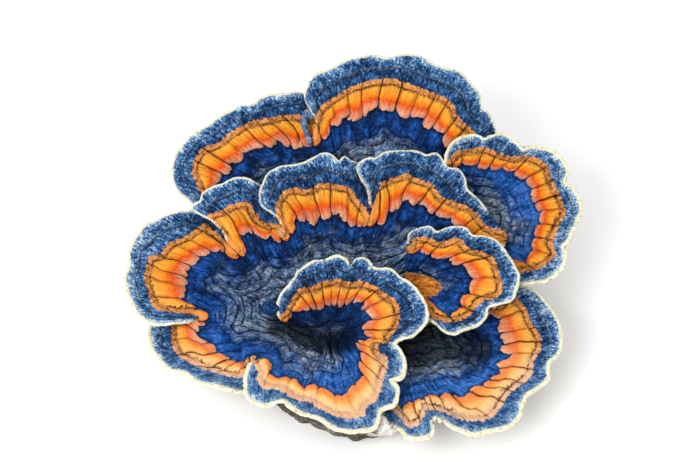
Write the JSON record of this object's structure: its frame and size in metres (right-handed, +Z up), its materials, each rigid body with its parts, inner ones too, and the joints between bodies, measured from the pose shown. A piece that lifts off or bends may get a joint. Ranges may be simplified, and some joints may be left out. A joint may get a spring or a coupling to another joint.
{
  "type": "turkey tail fungus rosette",
  "caption": "Rosette of thin wavy bracket fungus caps with scalloped rims around a spiral funnel, on one foot cut flat below to rest on",
  "frame": {"origin": "on the flat cut below the foot, under the middle of the cluster", "axes": "+Z up out of the cut, +Y towards the tall back cap, +X to the right as seen from the front"},
  "size_m": [0.1123, 0.0957, 0.0417],
  "materials": {
    "cap_skin": "matte, velvety and leathery, in zones of blue, orange and cream",
    "foot_tissue": "matte, rough grey-brown tissue"
  },
  "bodies": {
    "root": {"main_cap": "cap_skin", "back_cap": "cap_skin", "right_cap": "cap_skin", "small_cap": "cap_skin", "lower_cap": "cap_skin", "foot": "foot_tissue"}
  },
  "joints": []
}
